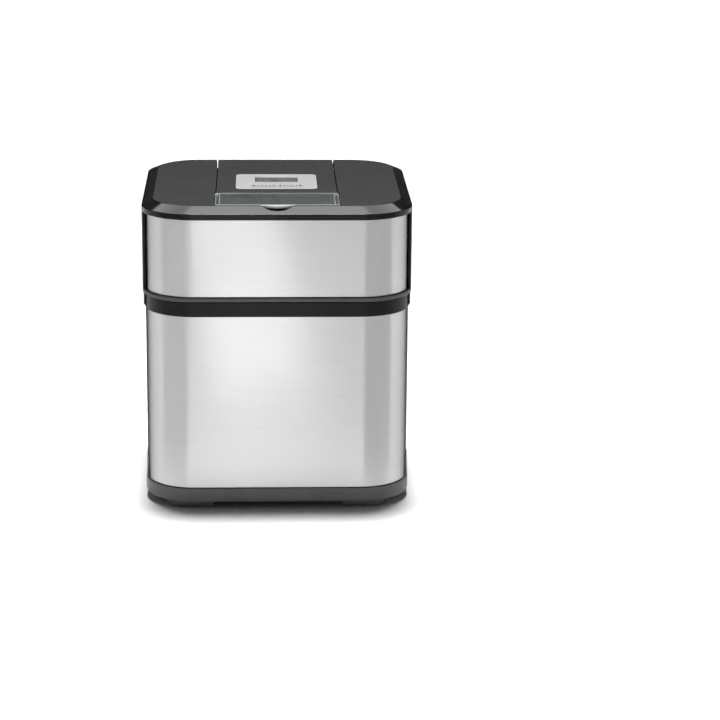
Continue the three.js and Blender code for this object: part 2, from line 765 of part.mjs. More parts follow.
// Round guide for the mains lead in the rear wall, with a square anchor block behind the wall.
function cableGland() {
  const flange = new THREE.CylinderGeometry(8, 8, 1.1, 24);
  flange.translate(0, STEEL_HALF + GAP + 0.55, 0);
  const neck = new THREE.CylinderGeometry(5, 5, 14, 24).translate(0, STEEL_HALF - 6, 0);
  const bore = new THREE.CylinderGeometry(3.4, 3.4, 40, 24).translate(0, STEEL_HALF, 0);
  return solid(flange).add(solid(neck)).subtract(solid(bore));
}

// ---- refill flap ---------------------------------------------------------------------------

// Clear plate with thick side bars, a lens-shaped pull tab and two hinge pins.
function refillFlap() {
  const bottom = FLAP_TOP - FLAP_THICK;
  const halfY = (FLAP_REAR - FLAP_FRONT) / 2;
  const outline = roundedOutline(FLAP_HALF, halfY, 2, 0, (FLAP_FRONT + FLAP_REAR) / 2, 4);
  let flap = prism(outline, bottom, FLAP_TOP).add(extrude(tabShape(0), bottom, FLAP_TOP));
  for (const side of [-1, 1]) {
    const xs = [side * FLAP_HALF, side * (FLAP_HALF - 3.6)].sort((a, b) => a - b);
    const low = POCKET_FLOOR + 0.7;
    flap = flap.add(box(...xs, FLAP_FRONT + 2, FLAP_REAR - 2.6, low, bottom + 0.5));
    const pin = new THREE.CylinderGeometry(FLAP_PIN_RADIUS, FLAP_PIN_RADIUS, 4, 16);
    pin.rotateZ(Math.PI / 2).translate(side * FLAP_HALF, FLAP_HINGE_Y, FLAP_HINGE_Z);
    flap = flap.add(solid(pin));
  }
  return flap;
}

// ---- lid: drive ----------------------------------------------------------------------------

// Spur gear outline, turned so that the middle of a tooth, or of a space, points along an angle.
function gearShape(teeth, gearModule, facing, toothAtFacing) {
  const pitch = (Math.PI * 2) / teeth;
  const tip = (teeth * gearModule) / 2 + 0.85 * gearModule;
  const root = (teeth * gearModule) / 2 - 1.15 * gearModule;
  const start = facing + (toothAtFacing ? 0 : pitch / 2);
  const points = [];
  for (let i = 0; i < teeth; i += 1) {
    const middle = start + i * pitch;
    points.push(polar(root, middle - 0.3 * pitch));
    points.push(polar(tip, middle - 0.11 * pitch));
    points.push(polar(tip, middle + 0.11 * pitch));
    points.push(polar(root, middle + 0.3 * pitch));
  }
  return new THREE.Shape(points);
}

function polar(radius, angle) {
  return new THREE.Vector2(radius * Math.cos(angle), radius * Math.sin(angle));
}

function outputGear() {
  const shape = gearShape(TOOTH_OUTPUT, MODULE_SLOW, Math.PI / 2, true);
  return extrude(shape, 187, 194.5)
    .add(cylinder(8, 186, 197, 0, 0, 20))
    .subtract(cylinder(SHAFT_RADIUS + GAP, 180, 200, 0, 0, 20));
}

function driveShaft() {
  return cylinder(SHAFT_RADIUS, HUB_TOP - 9, GEARBOX_TOP - 1, 0, 0, 20);
}

// Hexagonal dog on the lower end of the shaft, which turns the paddle.
function driveCoupling() {
  return hexagon(HEX_RADIUS, HUB_TOP - 15, HUB_TOP + 5).subtract(
    cylinder(SHAFT_RADIUS + GAP, HUB_TOP - 10, HUB_TOP + 6, 0, 0, 20),
  );
}

function idlerGear() {
  const small = gearShape(TOOTH_IDLER_SMALL, MODULE_SLOW, -Math.PI / 2, false);
  const large = gearShape(TOOTH_IDLER_LARGE, MODULE_FAST, PINION_ANGLE, true);
  return extrude(small, 187, 197)
    .add(extrude(large, 196.5, 202.5))
    .subtract(cylinder(2.3, 180, 210, 0, 0, 16));
}

function idlerPin() {
  return cylinder(2, GEARBOX_BOTTOM + 2.4, GEARBOX_TOP - 0.6, 0, 0, 16);
}

function motorRotor() {
  const pinion = gearShape(TOOTH_PINION, MODULE_FAST, PINION_ANGLE + Math.PI, false);
  return extrude(pinion, 196.5, 203)
    .add(cylinder(1.6, 196.5, 237, 0, 0, 16))
    .add(cylinder(15, 214, 232, 0, 0, 24));
}

function motorCan() {
  const inside = MOTOR_RADIUS - 1.6;
  return revolve(
    [
      [2.2, GEARBOX_TOP + 3],
      [MOTOR_RADIUS, GEARBOX_TOP + 3],
      [MOTOR_RADIUS, 236],
      [inside, 236],
      [inside, GEARBOX_TOP + 5],
      [2.2, GEARBOX_TOP + 5],
      [2.2, GEARBOX_TOP + 3],
    ],
    32,
  );
}

function motorEndCap() {
  return revolve(
    [
      [2.2, 236 + GAP],
      [MOTOR_RADIUS, 236 + GAP],
      [MOTOR_RADIUS, 238.5],
      [6, 238.5],
      [6, 240.5],
      [2.2, 240.5],
      [2.2, 236 + GAP],
    ],
    32,
  );
}

const GEARBOX = { halfX: 46, halfY: 59, middleX: 6, middleY: 21, radius: 14 };

function gearboxOutline(margin) {
  const { halfX, halfY, middleX, middleY, radius } = GEARBOX;
  return roundedOutline(halfX + margin, halfY + margin, radius + margin, middleX, middleY, 6);
}

function gearboxCase() {
  return prism(gearboxOutline(0), GEARBOX_BOTTOM, GEARBOX_TOP)
    .subtract(prism(gearboxOutline(-2.2), GEARBOX_BOTTOM + 2.2, GEARBOX_TOP + 1))
    .subtract(cylinder(SHAFT_RADIUS + 0.6, GEARBOX_BOTTOM - 1, GEARBOX_TOP, 0, 0, 20));
}

function gearboxCover() {
  return prism(gearboxOutline(0), GEARBOX_TOP + GAP, GEARBOX_TOP + 2.6)
    .subtract(cylinder(3, GEARBOX_TOP - 1, GEARBOX_TOP + 5, MOTOR_X, MOTOR_Y, 16));
}

function shaftBush() {
  return tube(SHAFT_RADIUS + 0.4, 8, LID_BOTTOM - 3, GEARBOX_BOTTOM - 1, 24);
}

function lidSeal() {
  return tube(79, 85.4, BOWL_TOP + 0.6, LID_BOTTOM - GAP);
}

function addDrive() {
  add("gearbox_case", gearboxCase(), matteBlack);
  add("gearbox_cover", gearboxCover(), matteBlack);
  add("shaft_bush", shaftBush(), gearPlastic);
  add("drive_shaft", driveShaft(), zinc);
  add("drive_coupling", driveCoupling(), gearPlastic);
  add("output_gear", outputGear(), gearPlastic);
  add("idler_gear", idlerGear(), gearPlastic, [0, IDLER_Y, 0]);
  add("idler_pin", idlerPin(), zinc, [0, IDLER_Y, 0]);
  add("motor_rotor", motorRotor(), zinc, [MOTOR_X, MOTOR_Y, 0]);
  add("motor_can", motorCan(), zinc, [MOTOR_X, MOTOR_Y, 0]);
  add("motor_end_cap", motorEndCap(), blackPlastic, [MOTOR_X, MOTOR_Y, 0]);
}

function addLid() {
  add("lid_pan", lidPan(), greyPlastic);
  add("lid_steel_band", lidSteelBand(), steel);
  add("left_side_cheek", sideCheek(-1), blackPlastic);
  add("right_side_cheek", sideCheek(1), blackPlastic);
  add("top_bezel", bezel(), matteBlack);
  add("centre_strip", centreStrip(), matteBlack);
  add("control_plate", controlPlate(), silverPlate);
  add("display_window", displayWindow(), displayGlass);
  add("display_module", displayModule(), displayGlass);
  add("control_board", controlBoard(), boardGreen);
  add("refill_chute", refillChute(), clearPlastic);
  add("lid_seal", lidSeal(), rubber);
  add("cable_gland", cableGland(), blackPlastic, [0, 0, GLAND_Z]);
  corners.forEach(([sideX, sideY], i) => {
    add(`lid_screw_${i + 1}`, lidScrew(), zinc, [sideX * SCREW_X, sideY * SCREW_Y, 0]);
  });
  KEY_CENTRES.forEach((x, i) => {
    add(`key_${i + 1}`, keyCap(), silverPlate, [x, (KEY_FRONT + KEY_REAR) / 2, 0]);
  });
  add("refill_flap", refillFlap(), clearPlastic);
}

// Steel wall of the lid, with the hole for the cable gland in its rear face.
function lidSteelBand() {
  const hole = new THREE.CylinderGeometry(5.3, 5.3, 20, 24).translate(0, STEEL_HALF, GLAND_Z);
  return steelBand(LID_BAND_BOTTOM + GAP, LID_BAND_TOP - GAP).subtract(solid(hole));
}

addHousing();
addBowl();
add("paddle", paddle(), whitePlastic);
addLid();
addDrive();

export default machine;
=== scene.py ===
"""Ice cream maker: high-resolution pieces, materials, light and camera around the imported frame.

Shape functions take millimetres in the frame's axes (+Z up, front towards -Y) and make meshes in
metres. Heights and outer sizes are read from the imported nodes.
"""

import math

import bmesh
import bpy
from mathutils import Matrix, Vector

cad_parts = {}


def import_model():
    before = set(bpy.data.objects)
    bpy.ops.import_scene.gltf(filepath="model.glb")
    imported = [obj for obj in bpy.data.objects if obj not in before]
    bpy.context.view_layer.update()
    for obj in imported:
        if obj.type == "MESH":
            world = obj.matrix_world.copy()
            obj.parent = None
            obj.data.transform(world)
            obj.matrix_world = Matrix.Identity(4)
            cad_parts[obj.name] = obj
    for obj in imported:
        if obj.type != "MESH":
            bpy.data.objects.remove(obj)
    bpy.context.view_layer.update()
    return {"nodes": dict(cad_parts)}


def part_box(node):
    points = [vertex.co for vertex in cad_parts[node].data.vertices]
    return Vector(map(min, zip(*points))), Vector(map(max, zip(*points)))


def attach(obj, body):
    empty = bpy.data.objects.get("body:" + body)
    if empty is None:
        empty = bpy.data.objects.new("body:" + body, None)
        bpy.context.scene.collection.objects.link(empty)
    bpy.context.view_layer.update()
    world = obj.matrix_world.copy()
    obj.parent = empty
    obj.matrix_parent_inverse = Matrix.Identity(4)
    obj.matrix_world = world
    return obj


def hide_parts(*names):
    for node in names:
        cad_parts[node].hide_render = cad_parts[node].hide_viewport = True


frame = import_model()

MM = 0.001
CORNER_STEPS = 18  # points on each round corner of the housing's outline
SIDE_STEPS = 14  # points along each of its sides
ROUND_STEPS = 128
ARC_STEPS = 5  # points on a small rounding
CORNERS = [(-1, -1), (1, -1), (1, 1), (-1, 1)]
FAR = 200  # beyond the machine on every side, for blocks that cut a piece off
UNDER = 200  # heights below and above the lid's top, for cuts that go right through it
ABOVE = 260


def low(node):
    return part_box(node)[0] / MM


def high(node):
    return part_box(node)[1] / MM


def middle(node):
    return (low(node) + high(node)) / 2


# ---- sizes in millimetres -------------------------------------------------------------------

GAP = 0.3  # between neighbouring pieces
STEEL_HALF = high("lower_steel_sleeve").x
STEEL_RADIUS = 40
STEEL_THICK = 0.8
RIM_HALF_X = high("lid_pan").x
RIM_HALF_Y = high("lid_pan").y
RIM_RADIUS = 41.5
BASE_HALF = high("base_tray").y
BASE_RADIUS = 41.45
BASE_BOTTOM = 5.9
BASE_TOP = low("lower_steel_sleeve").z - GAP
BASE_FLOOR_TOP = 8.5
POSTS = [(sign_x * 80, sign_y * 80) for sign_x, sign_y in CORNERS]  # also feet and base screws
FOOT_BLOCK_HALF_X = 90.5
FOOT_BLOCK_HALF_Y = 103.4
FOOT_BLOCK_RADIUS = 12
FOOT_BLOCK_START = 53
WEDGE_HEIGHT = 19
COLLAR_BOTTOM = high("lower_steel_sleeve").z + GAP
COLLAR_TOP = high("collar").z
COLLAR_BORE = 92.3
SIDE_HALF_Y = high("left_side_cheek").y  # side cheeks, collar lips and base wedges
GRIP_INSET = 0.6
LINER_RADIUS = 93
LINER_FLOOR = 10.2
BOWL_RADIUS = 89
BOWL_INSIDE = 72
BOWL_BOTTOM = low("bowl_outer_shell").z
BOWL_TOP = high("bowl_rim_ring").z
BOWL_FLOOR = 28.5
PAN_BOTTOM = low("lid_pan").z + 4
PAN_TOP = low("lid_steel_band").z - GAP
BAND_TOP = high("lid_steel_band").z + GAP
RIM_TOP = 247.4
TOP = high("centre_strip").z
FLAT_HALF_X = 101
FLAT_HALF_Y = 97.3
FLAT_RADIUS = 36
SHELL = 2.5
SEAM = 0.6  # round the flap and along the centre strip
STRIP_HALF = high("centre_strip").x
STRIP_FRONT = low("centre_strip").y
SLOT_START = 68
SLOT_HALF = 50.8
KEYS = [f"key_{number}" for number in (1, 2, 3, 4)]
PLATE_RADIUS = 5
PRINT_THICK = 0.03
FLAP_HALF = 50.1
FLAP_FRONT = -95.9
FLAP_REAR = high("refill_flap").y
FLAP_TOP = high("refill_flap").z
FLAP_THICK = 1.9
FLAP_HINGE = (-48.9, 250.9)  # y and z of the flap's axis
TAB_HALF = 14.5
TAB_REACH = 9  # how far the tab's curve is pulled forward, twice the tab's depth
POCKET_FLOOR = 248.8
PANE_HALF = FLAP_HALF - 3.9
PANE_FRONT = FLAP_FRONT + 3.2
PANE_TOP = FLAP_TOP - 0.35
CHUTE_LOW = (25, -71, -47)  # half width, front and rear at the chute's lower and upper ends
CHUTE_HIGH = (45, -91, -50)
SCOOP_RADIUS = 14
SCOOP_Y = -90.6
SCOOP_FLOOR = 244.9
LID_SCREWS = [(x, y) for x in (-86, 86) for y in (-58, 58)]
GLAND_Z = 192


# ---- outlines and profiles ------------------------------------------------------------------


def square_outline(
    half_x, half_y, radius, mid=(0, 0), corner_steps=CORNER_STEPS, side_steps=SIDE_STEPS
):
    """Points of a rectangle with round corners, anticlockwise, with points along its sides too."""
    points = []
    signs = [(1, 1), (-1, 1), (-1, -1), (1, -1)]
    for index, (sign_x, sign_y) in enumerate(signs):
        centre = Vector((mid[0] + sign_x * (half_x - radius), mid[1] + sign_y * (half_y - radius)))
        for step in range(corner_steps + 1):
            angle = math.radians(90 * (index + step / corner_steps))
            points.append(centre + radius * Vector((math.cos(angle), math.sin(angle))))
        next_x, next_y = signs[(index + 1) % 4]
        turn = math.radians(90 * (index + 1))
        corner = Vector((mid[0] + next_x * (half_x - radius), mid[1] + next_y * (half_y - radius)))
        following = corner + radius * Vector((math.cos(turn), math.sin(turn)))
        start = points[-1]
        for step in range(1, side_steps):
            points.append(start.lerp(following, step / side_steps))
    return points


def plan_outline(node, radius, margin=0.0, corner_steps=5):
    """Outline round a CAD node's box, seen from above."""
    centre = middle(node)
    half = (high(node) - low(node)) / 2
    return square_outline(
        half.x + margin, half.y + margin, radius, (centre.x, centre.y), corner_steps, 2
    )


def level_ring(outline, z):
    """Points of an outline at one height."""
    return [Vector((p[0], p[1], z)) for p in outline]


def square_ring(half_x, half_y, radius, z, offset=0.0):
    return level_ring(square_outline(half_x + offset, half_y + offset, radius + offset), z)


def round_ring(radius, z):
    """Circle whose points lie in the same directions as the points of the housing's outline."""
    directions = square_outline(STEEL_HALF, STEEL_HALF, STEEL_RADIUS)
    return [Vector((*(radius * d.normalized()), z)) for d in directions]


def fillet(points, radii, closed=True):
    """Rounds the corners of a polygon of (u, v) points, each by its own radius."""
    made = []
    count = len(points)
    for index, (point, radius) in enumerate(zip(points, radii)):
        here = Vector(point)
        is_end = not closed and index in (0, count - 1)
        if radius <= 0 or is_end:
            made.append(here)
            continue
        before = (Vector(points[index - 1]) - here).normalized()
        after = (Vector(points[(index + 1) % count]) - here).normalized()
        half = before.angle(after) / 2
        reach = radius / math.tan(half)
        start = here + before * reach
        end = here + after * reach
        for step in range(ARC_STEPS + 1):
            t = step / ARC_STEPS
            made.append(start * (1 - t) ** 2 + here * 2 * t * (1 - t) + end * t * t)
    return made


# ---- mesh helpers ---------------------------------------------------------------------------


def new_object(name, vertices, faces, sharp=35):
    mesh = bpy.data.meshes.new(name)
    mesh.from_pydata([Vector(v) * MM for v in vertices], [], faces)
    piece = bpy.data.objects.new(name, mesh)
    bpy.context.scene.collection.objects.link(piece)
    clean = bmesh.new()
    clean.from_mesh(mesh)
    bmesh.ops.remove_doubles(clean, verts=clean.verts, dist=1e-7)
    bmesh.ops.recalc_face_normals(clean, faces=clean.faces)
    clean.to_mesh(mesh)
    clean.free()
    smooth(piece, sharp)
    return piece


def smooth(piece, sharp=35):
    """Smooth shading, with edges sharp from an angle in degrees."""
    piece.data.shade_smooth()
    piece.data.set_sharp_from_angle(angle=math.radians(sharp))


def skin(name, rings, closed=False, sharp=35):
    """Mesh through rings of equally many points. Open ends are capped; closed joins last to first."""
    count = len(rings[0])
    vertices = [v for ring in rings for v in ring]
    faces = []
    pairs = len(rings) if closed else len(rings) - 1
    for r in range(pairs):
        s = (r + 1) % len(rings)
        for i in range(count):
            j = (i + 1) % count
            faces.append((r * count + i, r * count + j, s * count + j, s * count + i))
    if not closed:
        faces.append(tuple(reversed(range(count))))
        faces.append(tuple((len(rings) - 1) * count + i for i in range(count)))
    return new_object(name, vertices, faces, sharp)


def wrap(name, half_x, half_y, radius, profile, closed=True):
    """Sweeps (offset, z) points round a rounded square."""
    rings = [square_ring(half_x, half_y, radius, z, offset) for offset, z in profile]
    return skin(name, rings, closed)


def lathe(name, profile, steps=ROUND_STEPS, centre=(0, 0), closed=False):
    """Turns (radius, z) points about a vertical axis."""
    angles = [2 * math.pi * step / steps for step in range(steps)]
    rings = []
    for radius, z in profile:
        xs = [centre[0] + radius * math.cos(angle) for angle in angles]
        ys = [centre[1] + radius * math.sin(angle) for angle in angles]
        rings.append([Vector((x, y, z)) for x, y in zip(xs, ys)])
    return skin(name, rings, closed)


def prism(name, outline, z0, z1):
    """Upright prism on an outline of 2-D points."""
    return skin(name, [level_ring(outline, z0), level_ring(outline, z1)])


def block(x0, x1, y0, y1, z0, z1):
    """Box used for cutting and joining."""
    return prism("cutter", [(x0, y0), (x1, y0), (x1, y1), (x0, y1)], z0, z1)


def hole(x0, x1, y0, y1):
    """Block that cuts right through the lid's top."""
    return block(x0, x1, y0, y1, UNDER, ABOVE)


def punch(outline):
    """Prism that cuts right through the lid's top."""
    return prism("cutter", outline, UNDER, ABOVE)


def drum(radius, z0, z1, centre=(0, 0), steps=48):
    """Cylinder used for cutting and joining."""
    return lathe("cutter", [(radius, z0), (radius, z1)], steps, centre)


def combine(piece, other, operation):
    """Boolean with another piece, which is used up."""
    modifier = piece.modifiers.new("combine", "BOOLEAN")
    modifier.operation = operation
    modifier.solver = "EXACT"
    modifier.object = other
    apply_modifiers(piece)
    bpy.data.objects.remove(other)
    smooth(piece)
    return piece


def cut(piece, *others):
    """Takes other pieces away from a piece, one by one."""
    for other in others:
        combine(piece, other, "DIFFERENCE")
    return piece


def join(piece, *others):
    """Adds other pieces to a piece that they overlap."""
    for other in others:
        combine(piece, other, "UNION")
    return piece


def keep(piece, other):
    """Leaves only what lies inside the other piece."""
    return combine(piece, other, "INTERSECT")


def apply_modifiers(piece):
    bpy.context.view_layer.update()
    graph = bpy.context.evaluated_depsgraph_get()
    mesh = bpy.data.meshes.new_from_object(piece.evaluated_get(graph))
    old = piece.data
    piece.modifiers.clear()
    piece.data = mesh
    bpy.data.meshes.remove(old)


def soften(piece, width, segments=3, angle=40, apply=True):
    """Rounds the sharp edges of a piece."""
    modifier = piece.modifiers.new("soften", "BEVEL")
    modifier.width = width * MM
    modifier.segments = segments
    modifier.limit_method = "ANGLE"
    modifier.angle_limit = math.radians(angle)
    modifier.use_clamp_overlap = True
    modifier.harden_normals = False
    if apply:
        apply_modifiers(piece)
        smooth(piece)
    return piece


def rename(piece, name):
    piece.name = name
    piece.data.name = name
    return piece


def finish_piece(piece, body, slot, looks, *nodes):
    """Gives a new piece its body, material and the CAD nodes it stands for; slot is not used."""
    even = piece.modifiers.new("even_normals", "WEIGHTED_NORMAL")
    even.keep_sharp = True
    for look in looks if isinstance(looks, (list, tuple)) else [looks]:
        piece.data.materials.append(look)
    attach(piece, body)
    if nodes:
        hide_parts(*nodes)
    return piece


# ---- materials ------------------------------------------------------------------------------


class Look:
    """A Principled material with its node tree at hand."""

    def __init__(self, name, color, roughness, metallic=0.0):
        self.material = bpy.data.materials.new(name)
        self.material.use_nodes = True
        self.tree = self.material.node_tree
        self.shader = self.tree.nodes["Principled BSDF"]
        self.set("Base Color", (*color, 1.0))
        self.set("Roughness", roughness)
        self.set("Metallic", metallic)
        self.position = self.tree.nodes.new("ShaderNodeTexCoord").outputs["Object"]

    def set(self, socket, value):
        self.shader.inputs[socket].default_value = value

    def link(self, source, target):
        self.tree.links.new(source, target)

    def stretched(self, scale):
        """Object coordinates in metres, multiplied along each axis."""
        node = self.tree.nodes.new("ShaderNodeMapping")
        node.inputs["Scale"].default_value = scale
        self.link(self.position, node.inputs["Vector"])
        return node.outputs["Vector"]

    def noise(self, scale, detail=2.0, vector=None, roughness=0.5):
        node = self.tree.nodes.new("ShaderNodeTexNoise")
        node.inputs["Scale"].default_value = scale
        node.inputs["Detail"].default_value = detail
        node.inputs["Roughness"].default_value = roughness
        self.link(vector or self.position, node.inputs["Vector"])
        return node.outputs["Fac"]

    def ramp(self, value, low_value, high_value, start=0.35, end=0.65):
        node = self.tree.nodes.new("ShaderNodeMapRange")
        node.inputs["From Min"].default_value = start
        node.inputs["From Max"].default_value = end
        node.inputs["To Min"].default_value = low_value
        node.inputs["To Max"].default_value = high_value
        self.link(value, node.inputs["Value"])
        return node.outputs["Result"]

    def shade(self, value, dark, light):
        """Colour that runs from dark to light with a 0 to 1 value."""
        node = self.tree.nodes.new("ShaderNodeMix")
        node.data_type = "RGBA"
        node.inputs["A"].default_value = (*dark, 1.0)
        node.inputs["B"].default_value = (*light, 1.0)
        self.link(value, node.inputs["Factor"])
        return node.outputs["Result"]

    def bump(self, height, strength, distance_mm):
        node = self.tree.nodes.new("ShaderNodeBump")
        node.inputs["Strength"].default_value = strength
        node.inputs["Distance"].default_value = distance_mm * MM
        self.link(height, node.inputs["Height"])
        previous = self.shader.inputs["Normal"].links
        if previous:
            self.link(previous[0].from_socket, node.inputs["Normal"])
        self.link(node.outputs["Normal"], self.shader.inputs["Normal"])


def scaled(color, factor):
    return tuple(min(1.0, c * factor) for c in color)


def moulded(
    name, color, roughness, grain=2600, bump=0.25, depth=0.02, spread=0.06, specular=0.5
):
    """Moulded plastic: spark-eroded grain, faint cloudiness and handling marks."""
    look = Look(name, color, roughness)
    look.set("Specular IOR Level", specular)
    cloud = look.noise(38, 3)
    marks = look.noise(11, 4, roughness=0.7)
    look.link(look.shade(look.ramp(cloud, 0, 1), scaled(color, 0.94), scaled(color, 1.06)),
              look.shader.inputs["Base Color"])
    look.link(look.ramp(marks, roughness - spread / 2, roughness + spread / 2),
              look.shader.inputs["Roughness"])
    look.bump(look.noise(grain, 2), bump, depth)
    return look


def brushed(name, color, roughness):
    """Steel sheet brushed along the horizontal, duller where it is seen at a grazing angle."""
    look = Look(name, color, roughness, 1.0)
    fine = look.noise(1, 4, look.stretched((22, 22, 1100)), 0.6)
    handled = look.noise(9, 2)
    tone = look.ramp(fine, 0, 1, 0.2, 0.8)
    look.link(look.shade(tone, scaled(color, 0.95), scaled(color, 1.04)),
              look.shader.inputs["Base Color"])
    look.link(look.ramp(handled, roughness - 0.015, roughness + 0.015), look.shader.inputs["Roughness"])
    look.set("Anisotropic", 0.8)
    look.set("Anisotropic Rotation", 0.25)
    look.set("Specular Tint", (0.03, 0.03, 0.03, 1.0))
    return look


def plain_metal(name, color, roughness, scale=1500, bump=0.1):
    """Turned, drawn or zinc-plated metal."""
    look = Look(name, color, roughness, 1.0)
    grain = look.noise(scale, 3)
    cloud = look.noise(60, 3)
    look.link(look.ramp(cloud, roughness - 0.06, roughness + 0.08), look.shader.inputs["Roughness"])
    look.link(look.shade(look.ramp(cloud, 0, 1), scaled(color, 0.9), color),
              look.shader.inputs["Base Color"])
    look.bump(grain, bump, 0.01)
    return look


def clear(name, color, roughness, transmission):
    """Clear or tinted plastic, which lets part of the light through."""
    look = moulded(name, color, roughness, grain=900, bump=0.03, depth=0.01, spread=0.03)
    look.set("Transmission Weight", transmission)
    look.set("IOR", 1.49)
    return look


steel = brushed("brushed_steel", (0.545, 0.545, 0.55), 0.30)
black = moulded("black_satin_plastic", (0.010, 0.010, 0.0105), 0.34, specular=0.14)
top_matt = moulded(
    "top_matt_plastic", (0.0285, 0.0292, 0.0305), 0.6,
    grain=1900, bump=0.45, depth=0.05, specular=0.07,
)
top_gloss = moulded(
    "top_polished_plastic", (0.006, 0.0064, 0.0067), 0.09, bump=0.03, spread=0.03, specular=0.16
)
rim_grey = moulded("rim_satin_plastic", (0.10, 0.103, 0.106), 0.42, specular=0.15)
grey = moulded("grey_satin_plastic", (0.155, 0.159, 0.165), 0.42, specular=0.15)
dark_inner = moulded("inner_black_plastic", (0.03, 0.031, 0.032), 0.5)
rubber = moulded("black_rubber", (0.018, 0.018, 0.019), 0.78, grain=1300, bump=0.4, depth=0.04)
silver = moulded("silver_lacquer", (0.43, 0.432, 0.432), 0.4, grain=4200, bump=0.2, depth=0.008)
print_black = moulded("legend_print", (0.008, 0.0085, 0.009), 0.5, grain=3000, bump=0.1, depth=0.005)
white = moulded("white_plastic", (0.82, 0.81, 0.77), 0.38, bump=0.12)
acetal = moulded("natural_acetal", (0.74, 0.70, 0.60), 0.36, bump=0.1)
acetal.set("Subsurface Weight", 0.08)
green = moulded("solder_resist", (0.03, 0.16, 0.07), 0.35, grain=700, bump=0.2, depth=0.03)
zinc = plain_metal("zinc_plating", (0.62, 0.63, 0.64), 0.32)
aluminium = plain_metal("satin_aluminium", (0.78, 0.79, 0.80), 0.34, 900, 0.15)
display_glass = clear("display_cover", (0.42, 0.45, 0.43), 0.08, 0.75)
display_glass.set("IOR", 1.45)
display_back = moulded(
    "display_ground", (0.20, 0.22, 0.205), 0.4, grain=1500, bump=0.05, depth=0.004
)
clear_flap = clear("smoked_clear_plastic", (0.20, 0.225, 0.22), 0.12, 0.6)
# Lighter copies of the clear plastic as painted highlights: one for the flap's rib tops and side faces,
# and a brighter one for the front of its frame and the pull tab.
clear_rib_painted_highlight = clear("clear_plastic_rib_painted_highlight", (0.40, 0.42, 0.42), 0.25, 0.3)
clear_edge_painted_highlight = clear("clear_plastic_edge_painted_highlight", (0.66, 0.68, 0.68), 0.3, 0.05)
clear_chute = clear("clear_chute_plastic", (0.75, 0.80, 0.79), 0.12, 0.8)
gel = clear("freezing_gel", (0.35, 0.56, 0.72), 0.25, 0.4)


# ---- housing --------------------------------------------------------------------------------


def base_shell():
    """Tray with a low wall, on four foot blocks."""
    wall = 3.5
    middle_offset = -BASE_RADIUS + 1
    profile = fillet(
        [(middle_offset, BASE_BOTTOM), (0, BASE_BOTTOM), (0, BASE_TOP), (-wall, BASE_TOP),
         (-wall, BASE_FLOOR_TOP), (middle_offset, BASE_FLOOR_TOP)],
        [0, 2.2, 0.9, 0.3, 0.8, 0],
        closed=False,
    )
    shell = wrap("base_shell", BASE_HALF, BASE_HALF, BASE_RADIUS, profile, closed=False)
    for corner, centre in zip(CORNERS, POSTS):
        join(shell, foot_block(*corner))
        pad_recess = drum(9.2, 0, 3.3, centre)
        head_recess = drum(3.8, 2, 5.4, centre)
        screw_hole = drum(2, 4, 12, centre)
        cut(shell, pad_recess, head_recess, screw_hole)
    join(shell, side_wedges())
    return finish_piece(shell, "housing", "grey_plastic", grey.material, "base_tray")


def foot_block(sign_x, sign_y):
    """One corner of a large rounded block under the base band."""
    outline = square_outline(FOOT_BLOCK_HALF_X, FOOT_BLOCK_HALF_Y, FOOT_BLOCK_RADIUS)
    solid = prism("cutter", outline, 1, BASE_BOTTOM + 0.5)
    xs = sorted((sign_x * FOOT_BLOCK_START, sign_x * FAR))
    ys = sorted((sign_y * FOOT_BLOCK_START, sign_y * FAR))
    keep(solid, block(*xs, *ys, -5, 20))
    return soften(solid, 0.5, 2, 40)


def side_wedges():
    """Wedges above the base band: their faces lean back into the two steel side walls."""
    inner, outer, tip = 0.32, 1.4, 0.52
    top = BASE_TOP + WEDGE_HEIGHT
    profile = fillet(
        [(inner, BASE_TOP - 1), (outer, BASE_TOP - 1), (outer, BASE_TOP), (tip, top), (inner, top)],
        [0, 0, 3, 0.05, 0],
    )
    return trim_sides(wrap("cutter", STEEL_HALF, STEEL_HALF, STEEL_RADIUS, profile))


def trim_sides(ring):
    """Leaves the two stretches of a ring that lie on the machine's left and right."""
    return cut(
        ring,
        block(-FAR, FAR, SIDE_HALF_Y, FAR, 0, FAR),
        block(-FAR, FAR, -FAR, -SIDE_HALF_Y, 0, FAR),
    )


def steel_wall(name, z0, z1):
    profile = fillet([(-STEEL_THICK, z0), (0, z0), (0, z1), (-STEEL_THICK, z1)], [0, 0.35, 0.35, 0])
    return wrap(name, STEEL_HALF, STEEL_HALF, STEEL_RADIUS, profile)


def lower_sleeve():
    wall = steel_wall("lower_sleeve", low("lower_steel_sleeve").z, high("lower_steel_sleeve").z)
    return finish_piece(wall, "housing", "brushed_steel", steel.material, "lower_steel_sleeve")


def collar_ring():
    top, bottom = COLLAR_TOP, COLLAR_BOTTOM
    outer = fillet([(0.6, bottom), (0.6, top), (-8, top)], [0, 0.7, 0], closed=False)
    rings = [square_ring(STEEL_HALF, STEEL_HALF, STEEL_RADIUS, z, o) for o, z in outer]
    groove = fillet(
        [(100, top), (98.4, top), (98.4, top - 1.2), (96, top - 1.2), (96, top), (COLLAR_BORE, top),
         (COLLAR_BORE, bottom), (100, bottom)],
        [0, 0.3, 0.3, 0.3, 0.3, 1.2, 0.5, 0],
        closed=False,
    )
    rings += [round_ring(r, z) for r, z in groove]
    ring = skin("collar_moulding", rings, closed=True)
    out = -GRIP_INSET
    lip = fillet(
        [(-2.4, bottom), (out, bottom + 2.4), (out, top), (-6, top), (-6, bottom)],
        [0.2, 0.6, 0.7, 0, 0],
    )
    lips = wrap("cutter", RIM_HALF_X, RIM_HALF_Y, RIM_RADIUS, lip)
    join(ring, trim_sides(lips))
    return finish_piece(ring, "housing", "black_plastic", black.material, "collar")


